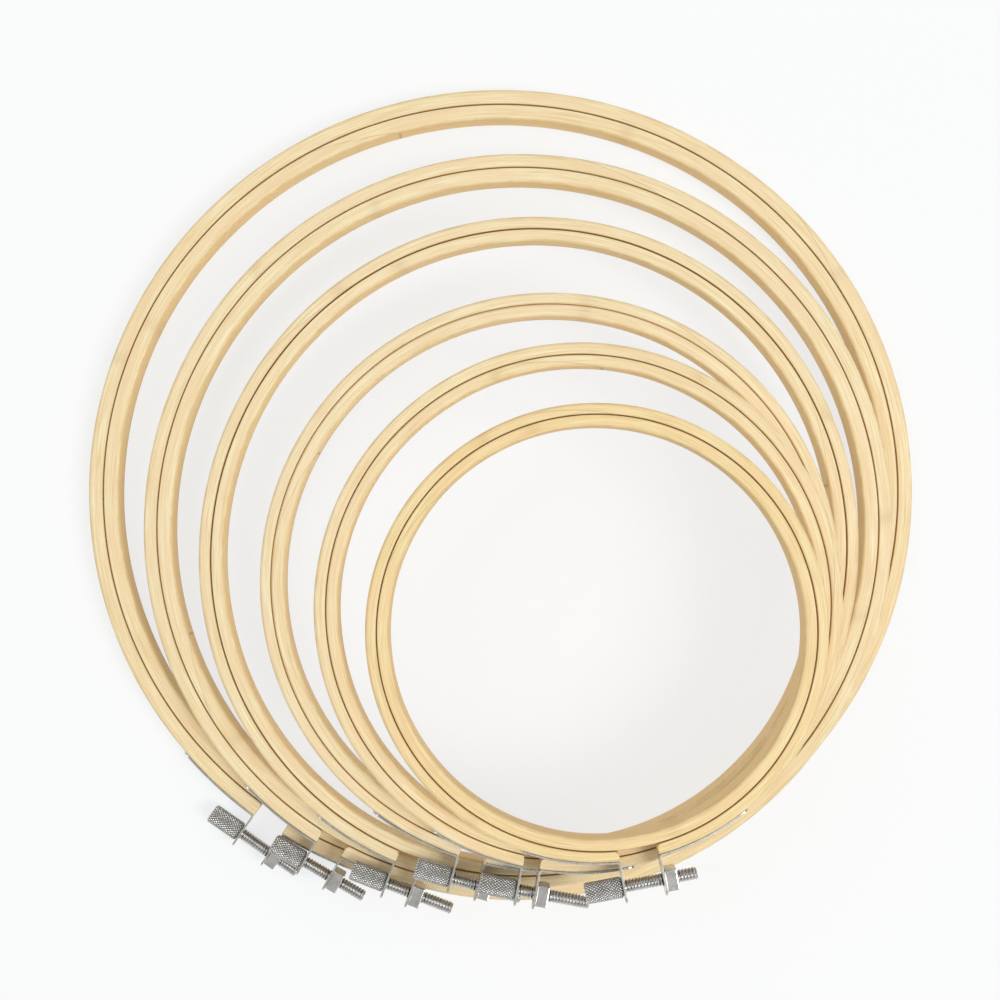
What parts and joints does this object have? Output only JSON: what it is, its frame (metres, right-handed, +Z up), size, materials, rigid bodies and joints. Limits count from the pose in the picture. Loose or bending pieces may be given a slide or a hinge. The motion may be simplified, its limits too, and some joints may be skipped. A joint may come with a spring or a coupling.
{
  "type": "embroidery hoop set",
  "caption": "Set of round bamboo embroidery hoops lying in a stack, each an inner ring in a split outer ring drawn together by a knurled thumbscrew and square nut.",
  "frame": {"origin": "under the middle of the set's box, on the surface that the largest hoop lies on", "axes": "+Z up through the rings' openings, +X to the right and +Y away from the screws as seen from above"},
  "size_m": [0.2666, 0.2628, 0.0543],
  "materials": {
    "bamboo": "fine sanded, unvarnished",
    "plated_sheet": "zinc plated sheet",
    "tack_steel": "plain steel",
    "plated_steel": "nickel plated"
  },
  "bodies": {
    "hoop_1_head_end": {"hoop_1_outer_ring_head_end": "bamboo", "hoop_1_head_bracket": "plated_sheet", "hoop_1_head_bracket_tacks": "tack_steel"},
    "hoop_1_nut_end": {"hoop_1_outer_ring_nut_end": "bamboo", "hoop_1_nut_bracket": "plated_sheet", "hoop_1_nut_bracket_tacks": "tack_steel"},
    "hoop_1_inner": {"hoop_1_inner_ring": "bamboo"},
    "hoop_1_screw": {"hoop_1_thumbscrew": "plated_steel"},
    "hoop_1_nut": {"hoop_1_square_nut": "plated_steel"},
    "hoop_2_head_end": {"hoop_2_outer_ring_head_end": "bamboo", "hoop_2_head_bracket": "plated_sheet", "hoop_2_head_bracket_tacks": "tack_steel"},
    "hoop_2_nut_end": {"hoop_2_outer_ring_nut_end": "bamboo", "hoop_2_nut_bracket": "plated_sheet", "hoop_2_nut_bracket_tacks": "tack_steel"},
    "hoop_2_inner": {"hoop_2_inner_ring": "bamboo"},
    "hoop_2_screw": {"hoop_2_thumbscrew": "plated_steel"},
    "hoop_2_nut": {"hoop_2_square_nut": "plated_steel"},
    "hoop_3_head_end": {"hoop_3_outer_ring_head_end": "bamboo", "hoop_3_head_bracket": "plated_sheet", "hoop_3_head_bracket_tacks": "tack_steel"},
    "hoop_3_nut_end": {"hoop_3_outer_ring_nut_end": "bamboo", "hoop_3_nut_bracket": "plated_sheet", "hoop_3_nut_bracket_tacks": "tack_steel"},
    "hoop_3_inner": {"hoop_3_inner_ring": "bamboo"},
    "hoop_3_screw": {"hoop_3_thumbscrew": "plated_steel"},
    "hoop_3_nut": {"hoop_3_square_nut": "plated_steel"},
    "hoop_4_head_end": {"hoop_4_outer_ring_head_end": "bamboo", "hoop_4_head_bracket": "plated_sheet", "hoop_4_head_bracket_tacks": "tack_steel"},
    "hoop_4_nut_end": {"hoop_4_outer_ring_nut_end": "bamboo", "hoop_4_nut_bracket": "plated_sheet", "hoop_4_nut_bracket_tacks": "tack_steel"},
    "hoop_4_inner": {"hoop_4_inner_ring": "bamboo"},
    "hoop_4_screw": {"hoop_4_thumbscrew": "plated_steel"},
    "hoop_4_nut": {"hoop_4_square_nut": "plated_steel"},
    "hoop_5_head_end": {"hoop_5_outer_ring_head_end": "bamboo", "hoop_5_head_bracket": "plated_sheet", "hoop_5_head_bracket_tacks": "tack_steel"},
    "hoop_5_nut_end": {"hoop_5_outer_ring_nut_end": "bamboo", "hoop_5_nut_bracket": "plated_sheet", "hoop_5_nut_bracket_tacks": "tack_steel"},
    "hoop_5_inner": {"hoop_5_inner_ring": "bamboo"},
    "hoop_5_screw": {"hoop_5_thumbscrew": "plated_steel"},
    "hoop_5_nut": {"hoop_5_square_nut": "plated_steel"},
    "hoop_6_head_end": {"hoop_6_outer_ring_head_end": "bamboo", "hoop_6_head_bracket": "plated_sheet", "hoop_6_head_bracket_tacks": "tack_steel"},
    "hoop_6_nut_end": {"hoop_6_outer_ring_nut_end": "bamboo", "hoop_6_nut_bracket": "plated_sheet", "hoop_6_nut_bracket_tacks": "tack_steel"},
    "hoop_6_inner": {"hoop_6_inner_ring": "bamboo"},
    "hoop_6_screw": {"hoop_6_thumbscrew": "plated_steel"},
    "hoop_6_nut": {"hoop_6_square_nut": "plated_steel"}
  },
  "joints": [
    {"name": "hoop_1_nut_travel", "type": "slide", "parent": "hoop_1_head_end", "child": "hoop_1_nut", "axis": [0.8192, -0.5736, 0], "range_m": [0, 0.004]},
    {"name": "hoop_1_thumbscrew_turn", "type": "hinge", "parent": "hoop_1_head_end", "child": "hoop_1_screw", "pos_m": [-0.07996, -0.11315, 0.0045], "axis": [-0.8192, 0.5736, 0], "range_deg": [0, 1440]},
    {"name": "hoop_1_outer_ring_opening", "type": "hinge", "parent": "hoop_1_head_end", "child": "hoop_1_nut_end", "pos_m": [0.07537, 0.10869, 0.0045], "axis": [0, 0, 1], "range_deg": [0, 0.84629]},
    {"name": "hoop_1_inner_ring_push", "type": "slide", "parent": "hoop_1_head_end", "child": "hoop_1_inner", "axis": [0, 0, 1], "range_m": [0, 0.014]},
    {"name": "hoop_2_lift", "type": "slide", "parent": "hoop_1_inner", "child": "hoop_2_head_end", "axis": [0, 0, 1], "range_m": [0, 0.02]},
    {"name": "hoop_2_nut_travel", "type": "slide", "parent": "hoop_2_head_end", "child": "hoop_2_nut", "axis": [0.8625, -0.506, 0], "range_m": [0, 0.004]},
    {"name": "hoop_2_thumbscrew_turn", "type": "hinge", "parent": "hoop_2_head_end", "child": "hoop_2_screw", "pos_m": [-0.05876, -0.11949, 0.01355], "axis": [-0.8625, 0.506, 0], "range_deg": [0, 1440]},
    {"name": "hoop_2_outer_ring_opening", "type": "hinge", "parent": "hoop_2_head_end", "child": "hoop_2_nut_end", "pos_m": [0.06572, 0.09268, 0.01355], "axis": [0, 0, 1], "range_deg": [0, 0.9317]},
    {"name": "hoop_2_inner_ring_push", "type": "slide", "parent": "hoop_2_head_end", "child": "hoop_2_inner", "axis": [0, 0, 1], "range_m": [0, 0.014]},
    {"name": "hoop_3_lift", "type": "slide", "parent": "hoop_2_inner", "child": "hoop_3_head_end", "axis": [0, 0, 1], "range_m": [0, 0.02]},
    {"name": "hoop_3_nut_travel", "type": "slide", "parent": "hoop_3_head_end", "child": "hoop_3_nut", "axis": [0.9323, -0.3616, 0], "range_m": [0, 0.004]},
    {"name": "hoop_3_thumbscrew_turn", "type": "hinge", "parent": "hoop_3_head_end", "child": "hoop_3_screw", "pos_m": [-0.03216, -0.12322, 0.0226], "axis": [-0.9323, 0.3616, 0], "range_deg": [0, 1440]},
    {"name": "hoop_3_outer_ring_opening", "type": "hinge", "parent": "hoop_3_head_end", "child": "hoop_3_nut_end", "pos_m": [0.04682, 0.08038, 0.0226], "axis": [0, 0, 1], "range_deg": [0, 1.05]},
    {"name": "hoop_3_inner_ring_push", "type": "slide", "parent": "hoop_3_head_end", "child": "hoop_3_inner", "axis": [0, 0, 1], "range_m": [0, 0.014]},
    {"name": "hoop_4_lift", "type": "slide", "parent": "hoop_3_inner", "child": "hoop_4_head_end", "axis": [0, 0, 1], "range_m": [0, 0.02]},
    {"name": "hoop_4_nut_travel", "type": "slide", "parent": "hoop_4_head_end", "child": "hoop_4_nut", "axis": [0.9627, -0.2706, 0], "range_m": [0, 0.004]},
    {"name": "hoop_4_thumbscrew_turn", "type": "hinge", "parent": "hoop_4_head_end", "child": "hoop_4_screw", "pos_m": [-0.01105, -0.11913, 0.03165], "axis": [-0.9627, 0.2706, 0], "range_deg": [0, 1440]},
    {"name": "hoop_4_outer_ring_opening", "type": "hinge", "parent": "hoop_4_head_end", "child": "hoop_4_nut_end", "pos_m": [0.03902, 0.05898, 0.03165], "axis": [0, 0, 1], "range_deg": [0, 1.24]},
    {"name": "hoop_4_inner_ring_push", "type": "slide", "parent": "hoop_4_head_end", "child": "hoop_4_inner", "axis": [0, 0, 1], "range_m": [0, 0.014]},
    {"name": "hoop_5_lift", "type": "slide", "parent": "hoop_4_inner", "child": "hoop_5_head_end", "axis": [0, 0, 1], "range_m": [0, 0.02]},
    {"name": "hoop_5_nut_travel", "type": "slide", "parent": "hoop_5_head_end", "child": "hoop_5_nut", "axis": [0.9839, -0.1788, 0], "range_m": [0, 0.004]},
    {"name": "hoop_5_thumbscrew_turn", "type": "hinge", "parent": "hoop_5_head_end", "child": "hoop_5_screw", "pos_m": [0.00768, -0.11979, 0.0407], "axis": [-0.9839, 0.1788, 0], "range_deg": [0, 1440]},
    {"name": "hoop_5_outer_ring_opening", "type": "hinge", "parent": "hoop_5_head_end", "child": "hoop_5_nut_end", "pos_m": [0.0376, 0.04486, 0.0407], "axis": [0, 0, 1], "range_deg": [0, 1.37]},
    {"name": "hoop_5_inner_ring_push", "type": "slide", "parent": "hoop_5_head_end", "child": "hoop_5_inner", "axis": [0, 0, 1], "range_m": [0, 0.014]},
    {"name": "hoop_6_lift", "type": "slide", "parent": "hoop_5_inner", "child": "hoop_6_head_end", "axis": [0, 0, 1], "range_m": [0, 0.02]},
    {"name": "hoop_6_nut_travel", "type": "slide", "parent": "hoop_6_head_end", "child": "hoop_6_nut", "axis": [0.9826, 0.1857, 0], "range_m": [0, 0.004]},
    {"name": "hoop_6_thumbscrew_turn", "type": "hinge", "parent": "hoop_6_head_end", "child": "hoop_6_screw", "pos_m": [0.04244, -0.11492, 0.04975], "axis": [-0.9826, -0.1857, 0], "range_deg": [0, 1440]},
    {"name": "hoop_6_outer_ring_opening", "type": "hinge", "parent": "hoop_6_head_end", "child": "hoop_6_nut_end", "pos_m": [0.01578, 0.02615, 0.04975], "axis": [0, 0, 1], "range_deg": [0, 1.6]},
    {"name": "hoop_6_inner_ring_push", "type": "slide", "parent": "hoop_6_head_end", "child": "hoop_6_inner", "axis": [0, 0, 1], "range_m": [0, 0.014]}
  ],
  "couplings": [
    {"joint": "hoop_1_thumbscrew_turn", "follows": "hoop_1_nut_travel", "rad_per_m": 6283.2},
    {"joint": "hoop_1_outer_ring_opening", "follows": "hoop_1_nut_travel", "rad_per_m": 3.6926},
    {"joint": "hoop_2_thumbscrew_turn", "follows": "hoop_2_nut_travel", "rad_per_m": 6283.2},
    {"joint": "hoop_2_outer_ring_opening", "follows": "hoop_2_nut_travel", "rad_per_m": 4.0653},
    {"joint": "hoop_3_thumbscrew_turn", "follows": "hoop_3_nut_travel", "rad_per_m": 6283.2},
    {"joint": "hoop_3_outer_ring_opening", "follows": "hoop_3_nut_travel", "rad_per_m": 4.579},
    {"joint": "hoop_4_thumbscrew_turn", "follows": "hoop_4_nut_travel", "rad_per_m": 6283.2},
    {"joint": "hoop_4_outer_ring_opening", "follows": "hoop_4_nut_travel", "rad_per_m": 5.4051},
    {"joint": "hoop_5_thumbscrew_turn", "follows": "hoop_5_nut_travel", "rad_per_m": 6283.2},
    {"joint": "hoop_5_outer_ring_opening", "follows": "hoop_5_nut_travel", "rad_per_m": 5.9755},
    {"joint": "hoop_6_thumbscrew_turn", "follows": "hoop_6_nut_travel", "rad_per_m": 6283.2},
    {"joint": "hoop_6_outer_ring_opening", "follows": "hoop_6_nut_travel", "rad_per_m": 6.9654}
  ]
}
